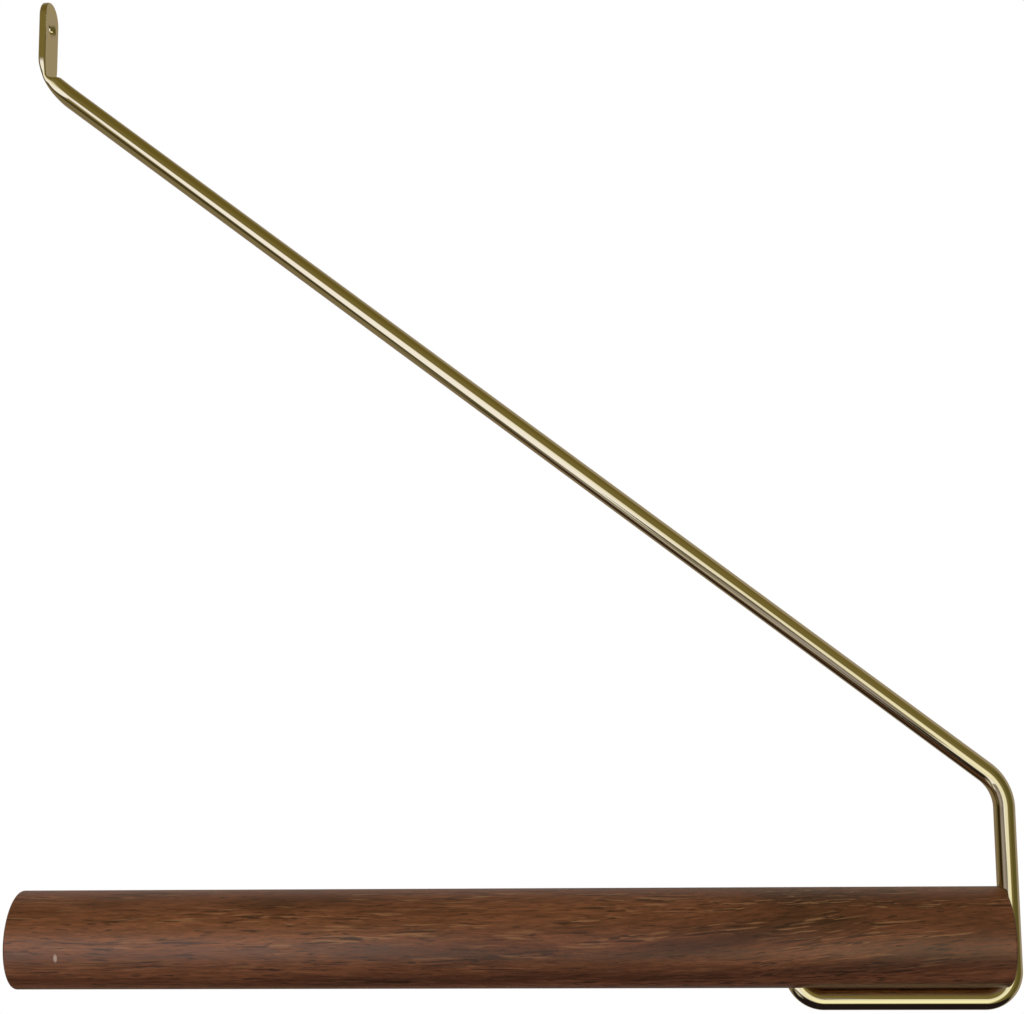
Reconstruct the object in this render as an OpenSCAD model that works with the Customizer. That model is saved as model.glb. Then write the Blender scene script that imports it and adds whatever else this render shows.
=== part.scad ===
// Wall coat rack: a turned walnut arm that stands out from the wall and hangs from one bent brass stay.
// Millimetres. The origin is the centre of the arm's wall end, +X runs out along the arm, +Z is up,
// and the wall is the plane x = 0. The stay lies in the plane y = 0.

/* [Arm] */
// Diameter of the turned arm
arm_d = 32; // [26:0.5:40]
// Length of the arm from the wall to its outer end
arm_l = 327; // [220:1:420]
// Radius of the sanded edge round both ends
arm_edge = 0.8; // [0.3:0.1:2]

/* [Stay] */
// Diameter of the brass rod
rod_d = 7; // [5.5:0.1:8]
// How deep the rod is let into the arm's outer end
groove_depth = 1.7; // [0.5:0.05:2.5]
// Height above the arm's axis where the sloping part would meet the upright leg
bend_h = 48.8; // [35:0.1:80]
// Centre line radius of the upper bend
bend_r = 15; // [10:0.5:24]
// Centre line radius of the two bends under the arm
corner_r = 9.2; // [8:0.1:11]
// Gap between the arm's underside and the foot that runs beneath it
foot_gap = 0.25; // [0.2:0.05:4]
// Length of the foot between the centre lines of the upright leg and of the tip
foot_l = 70.5; // [40:0.5:110]
// How far the turned-up tip reaches into the arm
tip_depth = 13; // [9:0.5:18]
// Chamfer round the tip's end
tip_chamfer = 0.7; // [0.3:0.1:1.2]

/* [Wall tab] */
// Height of the wall screw above the arm's axis
screw_h = 320.2; // [240:0.1:380]
// Width of the forged tab
tab_w = 13.2; // [11:0.1:16]
// Thickness of the forged tab
tab_t = 2.75; // [2.5:0.05:3.5]
// Radius along the tab's edges
tab_edge = 0.8; // [0.3:0.1:1.1]
// Distance from the screw's centre up to the end of the tab
tab_end = 9.5; // [8:0.1:16]
// Distance from the screw's centre down to where the tab and the slope would meet
elbow_drop = 19.4; // [18.5:0.1:30]
// Centre line radius that the back of the elbow follows
elbow_r = 12.8; // [9:0.1:14]
// Inside radius of the crease at the foot of the tab's front
crease_r = 1; // [0.6:0.1:1.5]
// Height of the crease above the rod's centre line
crease_h = 1; // [0.8:0.05:2.4]
// Length above the elbow over which the tab already draws in
neck_above = 1.5; // [0.1:0.1:3]
// Length of the neck below the point where the tab and the slope would meet
neck_below = 12.2; // [10:0.1:16]
// Length below the crease over which the front swells out to the rod
front_swell = 3; // [2.5:0.1:6]
// Distance above the crease at which the back starts to swell
back_above = 2.8; // [0:0.1:3]

/* [Wall screw hole] */
// Hole for a 4 mm wood screw
screw_hole_d = 4.4; // [3.5:0.1:5]
// Diameter of the 90 degree countersink for the screw's head
sink_d = 7.6; // [6.5:0.1:8.5]

/* [Threaded insert] */
// Thread of the stud that stands out of the wall
thread_d = 8; // [6:1:8]
// Pitch of that thread
thread_pitch = 1.25; // [1:0.25:1.25]
// Outside diameter of the insert
insert_d = 14; // [12:0.5:16]
// Length of the insert
insert_l = 20; // [14:1:30]
// Width of the screwdriver slot across its mouth
slot_w = 1.8; // [1.2:0.1:2.5]
// Depth of that slot
slot_depth = 2; // [1:0.5:3]

/* [Clearances] */
// Clearance all round the rod where it lies in the arm
seat_gap = 0.15; // [0.1:0.05:0.3]
// Clearance all round the insert in its hole
insert_gap = 0.1; // [0.05:0.05:0.2]
// Depth that the drill goes past the end of a piece in a blind hole
drill_over = 1.5; // [0.5:0.5:3]

/* [Hidden] */

WALNUT = "#5d3b2b";
BRASS = "#b3914a";
INSERT_BRASS = "#a8873f";
ROUND_FN = 96;

arm_r = arm_d / 2;
rod_r = rod_d / 2;
leg_x = arm_l - groove_depth + rod_r;
foot_z = -(arm_r + foot_gap + rod_r);
tip_x = leg_x - foot_l;
tip_z = tip_depth - arm_r;
tab_mid = tab_t / 2;
tab_top = screw_h + tab_end;
elbow_z = screw_h - elbow_drop;
slope = atan2(elbow_z - bend_h, leg_x - tab_mid);

// The stay's centre line, as points [x, z] where its straight stretches would meet
elbow_at = [tab_mid, elbow_z];
bend_at = [leg_x, bend_h];
heel_at = [leg_x, foot_z];
toe_at = [tip_x, foot_z];

// The elbow below the tab: its back follows a wide arc round one centre, while the planes across the
// neck fan out round a pivot in front of the crease
elbow_turn = 90 - slope;
back_cut = elbow_r * tan(elbow_turn / 2);
back_centre = elbow_at + [elbow_r, back_cut];
neck_top = elbow_z + back_cut + neck_above;
slope_dir = [cos(slope), -sin(slope)];
rod_start = elbow_at + neck_below * slope_dir;
pivot_x = tab_t + crease_r;
pivot_rise = crease_h + crease_r - (pivot_x - tab_mid) * sin(slope);
pivot = [pivot_x, elbow_z + pivot_rise / cos(slope)];
pivot_along = (pivot - elbow_at) * slope_dir;

// Lengths of the neck above its fan, in its fan and below it
FAN_R = 3.2;
above_l = neck_top - pivot.y;
fan_l = FAN_R * elbow_turn * PI / 180;
below_l = neck_below - pivot_along;
neck_l = fan_l + below_l;

// Where two stretches meet, one runs LAP into the other and is SKIN thinner, so that they always join
LAP = 0.05;
SKIN = 0.05;

// The neck's skin: rings in each stretch, points round a quarter, and how far its ends sit inside
// their neighbours
RINGS = 12;
QUARTER = 8;
SINK = 0.02;
OVERLAP = 0.6;

function heading(p, q) = atan2(q.y - p.y, q.x - p.x);

function turned(a, b) = let (t = b - a) t > 180 ? t - 360 : t <= -180 ? t + 360 : t;

function towards(p, q, length) = p + length * (q - p) / norm(q - p);

function smooth(t) = let (u = max(0, min(1, t))) u * u * (3 - 2 * u);

function blend(a, b, t) = a + (b - a) * t;

// Length that a bend of radius r takes of each stretch it joins, at point i of a path
function bend_cut(path, i, r) =
    r * tan(abs(turned(heading(path[i - 1], path[i]), heading(path[i], path[i + 1]))) / 2);

// Stands a shape drawn in x and y up into the plane of the stay, so that its y becomes z
module upright()
    rotate([90, 0, 0])
        children();

// A straight rod between two points of the stay's plane
module straight(p, q, r)
    translate([p.x, p.y, 0])
        rotate([0, 90, heading(p, q)])
            cylinder(h = norm(q - p), r = r, $fn = ROUND_FN);

// A bend of the rod at point i of a path
module bend(path, i, bend_radius, r) {
    start = heading(path[i - 1], path[i]);
    turn = turned(start, heading(path[i], path[i + 1]));
    side = sign(turn);
    from = towards(path[i], path[i - 1], bend_cut(path, i, bend_radius));
    centre = from + side * bend_radius * [-sin(start), cos(start)];
    lap_angle = LAP / bend_radius * 180 / PI;
    translate([centre.x, centre.y, 0])
        rotate([0, 0, (turn > 0 ? start - 90 : start + turn + 90) - lap_angle])
            rotate_extrude(angle = abs(turn) + 2 * lap_angle, $fn = ROUND_FN)
                translate([bend_radius, 0])
                    circle(r = r - SKIN, $fn = ROUND_FN);
}

// A rod bent along a path of points, with one radius for each point, the first and last unused
module bent_rod(path, radii, r) {
    last = len(path) - 1;
    cuts = [for (i = [0:last]) i == 0 || i == last ? 0 : bend_cut(path, i, radii[i])];
    upright() {
        for (i = [0:last - 1])
            straight(
                towards(path[i], path[i + 1], cuts[i]),
                towards(path[i + 1], path[i], cuts[i + 1]),
                r
            );
        for (i = [1:last - 1])
            bend(path, i, radii[i], r);
    }
}

// The tab's section, w across and t thick, with rounded edges
module bar_section(w, t, edge) {
    square([w - 2 * edge, t], center = true);
    square([w, t - 2 * edge], center = true);
    for (x = [-1, 1], y = [-1, 1])
        translate([x * (w / 2 - edge), y * (t / 2 - edge)])
            circle(r = edge, $fn = ROUND_FN);
}

// The flat tab, from the top of the neck to its round end
module tab_blank() {
    low = neck_top;
    round_z = tab_top - tab_w / 2;
    translate([tab_mid, 0, low])
        linear_extrude(round_z - low)
            rotate(90)
                bar_section(tab_w, tab_t, tab_edge);
    translate([tab_mid, 0, round_z])
        rotate([0, 90, 0])
            rotate_extrude($fn = ROUND_FN)
                intersection() {
                    bar_section(tab_w - 2 * SKIN, tab_t - 2 * SKIN, tab_edge);
                    translate([0, -tab_t])
                        square([tab_w, 2 * tab_t]);
                }
}

// The screw's way through the tab, with its countersink open to the room
module screw_way() {
    sink_depth = (sink_d - screw_hole_d) / 2;
    translate([-1, 0, screw_h])
        rotate([0, 90, 0])
            cylinder(h = tab_t + 2, d = screw_hole_d, $fn = ROUND_FN);
    translate([tab_t - sink_depth, 0, screw_h])
        rotate([0, 90, 0])
            cylinder(
                h = sink_depth + 0.5,
                d1 = screw_hole_d,
                d2 = sink_d + 1,
                $fn = ROUND_FN
            );
}

// A rounded section w to each side, its front and back at +h and -h with corner radii of their own
function rounded_ring(w, h, front_edge, back_edge) = [
    for (corner = [0:3], k = [0:QUARTER - 1])
        let (
            a = corner * 90 + k * 90 / (QUARTER - 1),
            x = (corner == 0 || corner == 3) ? 1 : -1,
            y = corner < 2 ? 1 : -1,
            r = min(w, h, corner < 2 ? front_edge : back_edge) - SINK
        )
        [x * (w - r) + r * cos(a), y * (h - r) + r * sin(a)]
];

// One ring of the neck, in the plane through a point that is turned from level by an angle. It lies
// at distance s from the fan's start, past the back's arc or not, and t below the fan
function neck_ring(at, turn, past, s, t) =
    let (
        out = [cos(turn), sin(turn)],
        narrow = smooth((s + above_l) / (neck_l + above_l)),
        front = smooth(t / front_swell),
        back = smooth((s + back_above) / (neck_l + back_above)),
        r = elbow_r + blend(tab_mid, rod_r, back) - SINK,
        v = at - back_centre,
        aside = past ? 0 : v * v - pow(v * out, 2),
        p = at - (v * out + sqrt(r * r - aside)) * out,
        q = at + (front * (rod_r - crease_h) - crease_r - SINK) * out,
        mid = (p + q) / 2,
        ring = rounded_ring(
            blend(tab_w / 2, rod_r, narrow) - SINK,
            norm(q - p) / 2,
            blend(tab_edge, rod_r, front),
            blend(tab_edge, rod_r, back)
        )
    )
    [for (c = ring) [mid.x + c.y * out.x, c.x, mid.y + c.y * out.y]];

function ring_above(d) =
    neck_ring(pivot + [0, d], 0, pivot.y + d > back_centre.y, -d, 0);

function ring_in_fan(u) =
    neck_ring(pivot, u * elbow_turn, false, u * fan_l, 0);

function ring_below(d) =
    neck_ring(pivot + d * slope_dir, elbow_turn, pivot_along + d > back_cut, fan_l + d, d);

// The forged neck between the flat tab and the round rod, as one skin through its rings
module neck() {
    rings = [
        ring_above(above_l + OVERLAP),
        for (i = [0:RINGS - 1]) ring_above(above_l * (1 - i / RINGS)),
        for (i = [0:RINGS - 1]) ring_in_fan(i / RINGS),
        for (i = [0:RINGS]) ring_below(below_l * i / RINGS),
        ring_below(below_l + OVERLAP),
    ];
    last = len(rings) - 1;
    n = len(rings[0]);
    points = [for (ring = rings) for (p = ring) p];
    sides = [
        for (i = [0:last - 1], k = [0:n - 1])
            let (a = i * n + k, b = i * n + (k + 1) % n)
            each [[a, a + n, b], [b, a + n, b + n]]
    ];
    caps = [
        [for (k = [0:n - 1]) k],
        [for (k = [n - 1:-1:0]) last * n + k],
    ];
    polyhedron(points, concat(sides, caps), convexity = 4);
}

// The rod's turned-up end, with its chamfer
module tip_end()
    translate([tip_x, 0, tip_z - tip_chamfer - LAP])
        cylinder(
            h = tip_chamfer + LAP,
            r1 = rod_r - SKIN,
            r2 = rod_r - tip_chamfer,
            $fn = ROUND_FN
        );

// Brass stay: one rod, forged flat for the wall screw, bent over the arm's end and up into its underside
module stay()
    color(BRASS) {
        difference() {
            tab_blank();
            screw_way();
        }
        neck();
        bent_rod(
            [rod_start, bend_at, heel_at, toe_at, [tip_x, tip_z - tip_chamfer]],
            [0, bend_r, corner_r, corner_r, 0],
            rod_r
        );
        tip_end();
    }

// The turned arm before any hole, with both edges rounded over
module arm_blank()
    rotate([0, 90, 0])
        rotate_extrude($fn = 2 * ROUND_FN) {
            square([arm_r - arm_edge, arm_l]);
            translate([0, arm_edge])
                square([arm_r, arm_l - 2 * arm_edge]);
            for (z = [arm_edge, arm_l - arm_edge])
                translate([arm_r - arm_edge, z])
                    circle(r = arm_edge, $fn = ROUND_FN);
        }

// Groove down the arm's outer end, and the relief in its lower edge where the rod turns under
module end_groove() {
    r = rod_r + seat_gap;
    translate([leg_x, 0, -arm_r - 1])
        cylinder(h = arm_d + 2, r = r, $fn = ROUND_FN);
    upright()
        bend([bend_at, heel_at, toe_at], 1, corner_r, r);
}

// Blind hole for the stay's tip, with its mouth hollowed towards the foot where the rod turns
module tip_hole() {
    r = rod_r + seat_gap;
    translate([tip_x, 0, -arm_r - 1])
        cylinder(h = 1 + tip_depth + drill_over, r = r, $fn = ROUND_FN);
    upright()
        bend([heel_at, toe_at, [tip_x, tip_z]], 1, corner_r, r);
}

// Hole in the wall end for the threaded insert
module insert_hole()
    translate([-1, 0, 0])
        rotate([0, 90, 0])
            cylinder(h = 1 + insert_l + drill_over, d = insert_d + 2 * insert_gap, $fn = ROUND_FN);

// Walnut arm: a plain turned rod that coat hangers hook over
module arm()
    color(WALNUT)
        difference() {
            arm_blank();
            end_groove();
            tip_hole();
            insert_hole();
        }

// Brass insert with a machine thread for the stud in the wall, drawn at the thread's tapping size
module threaded_insert() {
    bore_d = thread_d - thread_pitch;
    lead = 1;
    color(INSERT_BRASS)
        difference() {
            rotate([0, 90, 0]) {
                cylinder(h = insert_l - lead, d = insert_d, $fn = ROUND_FN);
                translate([0, 0, insert_l - lead])
                    cylinder(h = lead, d1 = insert_d, d2 = insert_d - 2 * lead, $fn = ROUND_FN);
            }
            translate([-1, 0, 0])
                rotate([0, 90, 0])
                    cylinder(h = insert_l + 2, d = bore_d, $fn = ROUND_FN);
            translate([-1, -insert_d / 2 - 1, -slot_w / 2])
                cube([1 + slot_depth, insert_d + 2, slot_w]);
        }
}

arm();
stay();
threaded_insert();
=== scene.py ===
import math

import bmesh
import bpy
from mathutils import Matrix, Vector


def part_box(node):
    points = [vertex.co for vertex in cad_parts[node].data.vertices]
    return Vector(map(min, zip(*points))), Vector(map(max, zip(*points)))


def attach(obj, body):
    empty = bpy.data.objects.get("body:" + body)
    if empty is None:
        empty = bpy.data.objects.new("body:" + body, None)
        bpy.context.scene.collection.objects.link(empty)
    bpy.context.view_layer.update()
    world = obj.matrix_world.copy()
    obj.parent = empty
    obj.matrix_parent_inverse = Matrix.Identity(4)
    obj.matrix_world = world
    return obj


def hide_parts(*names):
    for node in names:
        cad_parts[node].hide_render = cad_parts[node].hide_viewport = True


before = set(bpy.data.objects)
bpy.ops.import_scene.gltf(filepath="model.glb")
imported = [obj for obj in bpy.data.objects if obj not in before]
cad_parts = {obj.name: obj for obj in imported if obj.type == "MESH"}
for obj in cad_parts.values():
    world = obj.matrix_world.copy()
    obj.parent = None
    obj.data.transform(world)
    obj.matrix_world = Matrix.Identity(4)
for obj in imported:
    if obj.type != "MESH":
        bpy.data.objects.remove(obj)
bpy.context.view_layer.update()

bl_info = {
    "name": "Wall coat rack",
    "version": (1, 0, 0),
    "blender": (4, 5, 0),
    "location": "View3D > Sidebar > Coat rack",
    "description": "A walnut arm that hangs from a bent brass stay, and the studio it is shown in",
    "category": "Object",
}

MM = 0.001
ARM_LOW, ARM_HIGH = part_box("arm")
STAY_LOW, STAY_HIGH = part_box("stay")

# Vertices round the rod. They are half a step off the axes, so that each quarter has as many.
ROUND = 96

# The photograph's view: focal length as a share of the picture's width, the lens's place in metres,
# and its turns in radians, where no turn looks level at the rack's side
VIEW_FOCUS = 1533.95 / 1024
VIEW_PLACE = (0.188765, -0.521636, 0.080778)
VIEW_YAW, VIEW_PITCH, VIEW_ROLL = 0.041626, 0.120426, -0.0099

# What the room shows in the metal and in the wood's sheen, each laid over those before it: a
# linear colour, since it is light, then the lowest and highest azimuth and how soft those edges
# are, and the same for elevation, in degrees. Azimuth 0 looks out of the wall along the arm, and
# -90 to the lens's side.
ROOM = (0.198, 0.172, 0.068)
ROOM_PARTS = (
    # Darker overhead and on the right
    ((0.150, 0.125, 0.036), (-181, 181, 1), (44, 91, 14)),
    ((0.120, 0.112, 0.042), (-46, 25, 7), (-91, 32, 10)),
    # The wall behind the rack, browner low down and paler above the arm's end
    ((0.37, 0.335, 0.32), (6, 168, 12), (-60, 62, 18)),
    ((0.24, 0.20, 0.155), (90, 172, 14), (-60, 0, 7)),
    ((0.36, 0.32, 0.24), (54, 84, 8), (8, 38, 8)),
    # The left side of the room, with a paler and a darker part below eye level
    ((0.15, 0.14, 0.080), (-181, -146, 5), (-50, 22, 6)),
    ((0.15, 0.14, 0.080), (158, 181, 8), (-50, 22, 6)),
    ((0.22, 0.20, 0.14), (-181, -166, 5), (-42, -17, 4)),
    ((0.22, 0.20, 0.14), (158, 181, 8), (-42, -17, 4)),
    ((0.07, 0.056, 0.026), (-164, -130, 5), (-37, -14, 4)),
    ((0.028, 0.020, 0.008), (-181, -152, 4), (-13, 2, 5)),
    ((0.028, 0.020, 0.008), (176, 181, 4), (-13, 2, 5)),
    # The floor, nearly black, and a pale strip on it to the left
    ((0.015, 0.0115, 0.015), (-181, 181, 1), (-91, -42, 5)),
    ((0.45, 0.46, 0.50), (-161, -129, 4), (-55, -43, 3)),
)


def linear(hex_colour):
    """An sRGB hex colour as the linear colour that a shader takes."""
    channels = [int(hex_colour[i:i + 2], 16) / 255 for i in (1, 3, 5)]
    return [c / 12.92 if c <= 0.04045 else ((c + 0.055) / 1.055) ** 2.4 for c in channels] + [1.0]


# ---------------------------------------------------------------- what a user may change

def length(name, description, default):
    """A property that holds a length in metres."""
    return bpy.props.FloatProperty(
        name=name, description=description, default=default, min=0.0, precision=5,
        subtype="DISTANCE", unit="LENGTH",
    )


def colour(name, description, default):
    """A property that holds a colour, given as sRGB hex."""
    return bpy.props.FloatVectorProperty(
        name=name, description=description, default=linear(default)[:3], size=3,
        min=0.0, max=1.0, subtype="COLOR",
    )


class RackSizes(bpy.types.PropertyGroup):
    """Sizes of the rack's pieces."""

    arm_length: length("Arm length", "From the wall to the arm's outer end", ARM_HIGH.x)
    arm_edge: length("Arm edge", "Radius that both ends of the arm are rounded with", 0.8 * MM)
    groove_depth: length("Groove depth", "How deep the rod lies in the arm's end", 1.7 * MM)
    seat_gap: length("Seat gap", "Clearance round the rod where it lies in the arm", 0.15 * MM)
    drill_over: length("Drill over", "How far a drill goes past the piece in its hole", 1.5 * MM)
    tip_depth: length("Tip depth", "How far the rod's tip goes up into the arm", 13 * MM)
    rod: length("Rod", "Diameter of the brass rod", 7.0 * MM)
    bend_height: length("Bend height", "Where the stay turns down the arm's end", 48.8 * MM)
    bend_radius: length("Bend radius", "Radius of that bend, on the rod's centre line", 15 * MM)
    corner_radius: length("Corner radius", "Radius of the two bends under the arm", 9.2 * MM)
    foot_gap: length("Foot gap", "Light between the arm and the rod under it", 0.25 * MM)
    foot_length: length("Foot length", "From the leg to the tip, on centre lines", 70.5 * MM)
    tip_chamfer: length("Tip chamfer", "Chamfer on the rod's tip", 0.7 * MM)
    screw_height: length("Screw height", "Height of the tab's screw hole", 320.2 * MM)
    screw_hole: length("Screw hole", "Diameter of the tab's screw hole", 4.4 * MM)
    sink: length("Countersink", "Diameter of the countersink at its mouth", 7.6 * MM)
    tab_width: length("Tab width", "Width of the forged tab", 13.2 * MM)
    tab_thickness: length("Tab thickness", "Thickness of the forged tab", 2.75 * MM)
    tab_edge: length("Tab edge", "Radius of the tab's long edges", 0.8 * MM)
    insert_length: length("Insert length", "Length of the threaded insert", 20 * MM)
    insert_width: length("Insert width", "Diameter of the threaded insert", 14 * MM)
    insert_gap: length("Insert gap", "Clearance round the insert in its hole", 0.1 * MM)
    thread: length("Thread", "Nominal diameter of the insert's inner thread", 8 * MM)
    thread_pitch: length("Thread pitch", "Pitch of the insert's inner thread", 1.25 * MM)
    slot_width: length("Slot width", "Width of the insert's driving slot", 1.8 * MM)
    slot_depth: length("Slot depth", "Depth of the insert's driving slot", 2 * MM)


class RackColours(bpy.types.PropertyGroup):
    """Colours of the rack's finishes."""

    walnut_dark: colour("Walnut, dark", "The darker growth bands", "#4D2917")
    walnut_mid: colour("Walnut, middle", "Most of the wood", "#63361E")
    walnut_light: colour("Walnut, light", "The paler growth bands", "#754328")
    walnut_pore: colour("Walnut, pores", "Open pores that hold the oil", "#2F1810")
    walnut_streak: colour("Walnut, streaks", "Thin pale fibres", "#9A6C45")
    walnut_nick: colour("Walnut, nick", "Bare wood where the finish is chipped", "#B79F92")
    brass: colour("Brass", "Polished brass of the stay", "#EBDAAA")
    insert_brass: colour("Insert brass", "Free-cutting brass of the insert", "#D9BC77")


class RackStudio(bpy.types.PropertyGroup):
    """The light the rack is shown in."""

    daylight: bpy.props.FloatProperty(
        name="Daylight", description="Soft light from all round", default=0.42, min=0.0)
    key: bpy.props.FloatProperty(
        name="Key", description="Power of the soft lamp in front", default=8.8, min=0.0,
        subtype="POWER", unit="POWER")
    fill: bpy.props.FloatProperty(
        name="Fill", description="Power of the soft lamp behind", default=3.5, min=0.0,
        subtype="POWER", unit="POWER")
    window: bpy.props.FloatProperty(
        name="Window", description="Brightness of the window that the brass shows", default=1.0,
        min=0.0)
    floor: colour("Floor", "The plain floor", "#F4F3F1")


# ---------------------------------------------------------------- modelling helpers

def start(kind, **placing):
    """Add a primitive by itself, place it in its mesh, and open it for editing."""
    if bpy.context.mode != "OBJECT":
        bpy.ops.object.mode_set(mode="OBJECT")
    bpy.ops.object.select_all(action="DESELECT")
    getattr(bpy.ops.mesh, f"primitive_{kind}_add")(calc_uvs=False, **placing)
    bpy.ops.object.transform_apply(location=True, rotation=True, scale=True)
    bpy.ops.object.mode_set(mode="EDIT")
    bpy.ops.mesh.select_all(action="SELECT")
    return bpy.context.object


def finish_edit(name):
    """Merge doubles, turn all faces outwards, and leave edit mode."""
    bpy.ops.mesh.select_all(action="SELECT")
    bpy.ops.mesh.remove_doubles(threshold=1e-7)
    bpy.ops.mesh.normals_make_consistent(inside=False)
    bpy.ops.object.mode_set(mode="OBJECT")
    made = bpy.context.object
    made.name = name
    made.data.name = name
    return made


def choose(kind, test):
    """Select only the vertices, edges or faces that pass a test."""
    bpy.ops.mesh.select_all(action="DESELECT")
    bpy.ops.mesh.select_mode(type={"verts": "VERT", "edges": "EDGE", "faces": "FACE"}[kind])
    edited = bmesh.from_edit_mesh(bpy.context.object.data)
    for item in getattr(edited, kind):
        item.select_set(test(item))
    edited.select_flush_mode()
    bmesh.update_edit_mesh(bpy.context.object.data)


def rim_centre():
    """Centre of what is selected."""
    edited = bmesh.from_edit_mesh(bpy.context.object.data)
    chosen = [v.co for v in edited.verts if v.select]
    return sum(chosen, Vector()) / len(chosen)


def run_on(move, size=1.0):
    """Carry the open rim on by a move, and widen or narrow it about its centre."""
    bpy.ops.mesh.extrude_region_move(TRANSFORM_OT_translate={"value": move})
    if size != 1.0:
        bpy.ops.transform.resize(value=(size, size, size), center_override=rim_centre())


def bend_on(angle, centre, end, steps):
    """Bend the open rim on round an upright centre, and make sure that it ends where it should."""
    bpy.ops.mesh.spin(steps=steps, dupli=False, angle=angle, center=centre, axis=(0, 1, 0))
    if (rim_centre() - Vector(end)).length > 1e-6:
        raise RuntimeError(f"the bend ends at {rim_centre()}, not at {end}")


def cap():
    """Close the open rim that is selected."""
    bpy.ops.mesh.edge_face_add()


def turned(name, along, origin, profile, segments=ROUND):
    """A closed turned shape: stations of (distance, radius) along an axis from an origin."""
    axis = Vector(along)
    turn = axis.to_track_quat("Z", "Y").to_euler()
    place = Vector(origin) + axis * profile[0][0]
    start("circle", vertices=segments, radius=profile[0][1], fill_type="NOTHING",
          location=place, rotation=turn)
    cap()
    bpy.ops.mesh.select_all(action="SELECT")
    bpy.ops.mesh.select_mode(type="EDGE")
    for (near, r_near), (far, r_far) in zip(profile, profile[1:]):
        run_on(axis * (far - near), r_far / r_near)
    return finish_edit(name)


def elbow_cutter(name, x, inwards, way, r):
    """A rod of radius r that comes down at x and turns along the foot, to cut a bend's seat."""
    corner = way.s.corner_radius
    top = way.foot_z + corner
    start("circle", vertices=ROUND, radius=r, fill_type="NOTHING",
          location=(x, 0, top + 0.3 * MM), rotation=(0, 0, math.pi / ROUND))
    cap()
    bpy.ops.mesh.select_all(action="SELECT")
    run_on((0, 0, -0.3 * MM))
    centre = x + inwards * corner
    bend_on(inwards * math.pi / 2, (centre, 0, top), (centre, 0, way.foot_z), 28)
    return finish_edit(name)


def pick(*pieces):
    """Select only these pieces, and make the last one active."""
    bpy.ops.object.select_all(action="DESELECT")
    for piece in pieces:
        piece.select_set(True)
    bpy.context.view_layer.objects.active = pieces[-1]


def cut(piece, tool):
    """Cut a tool's shape out of a piece and take the tool away."""
    pick(piece)
    change = piece.modifiers.new("cut", "BOOLEAN")
    change.operation = "DIFFERENCE"
    change.solver = "EXACT"
    change.object = tool
    bpy.ops.object.modifier_apply(modifier=change.name)
    bpy.data.objects.remove(tool, do_unlink=True)
    if not piece.data.polygons:
        raise RuntimeError(f"nothing is left of {piece.name}")


def shade(piece, degrees):
    """Smooth faces, with edges sharper than an angle left crisp, and even normals on flats."""
    pick(piece)
    bpy.ops.object.shade_smooth_by_angle(angle=math.radians(degrees))
    even = piece.modifiers.new("even", "WEIGHTED_NORMAL")
    even.keep_sharp = True
    even.weight = 100
    bpy.ops.object.modifier_apply(modifier=even.name)


def settle(piece, node, material):
    """Give a piece its material, its body and its slot, in place of its CAD node."""
    piece.data.materials.clear()
    piece.data.materials.append(material)
    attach(piece, "root")
    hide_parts(node)


# ---------------------------------------------------------------- the stay's course

def smooth(t):
    """A step from 0 to 1 that starts and ends level."""
    u = min(max(t, 0.0), 1.0)
    return u * u * (3 - 2 * u)


def blend(a, b, t):
    """The value at t of the way from a to b."""
    return a + (b - a) * t


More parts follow.
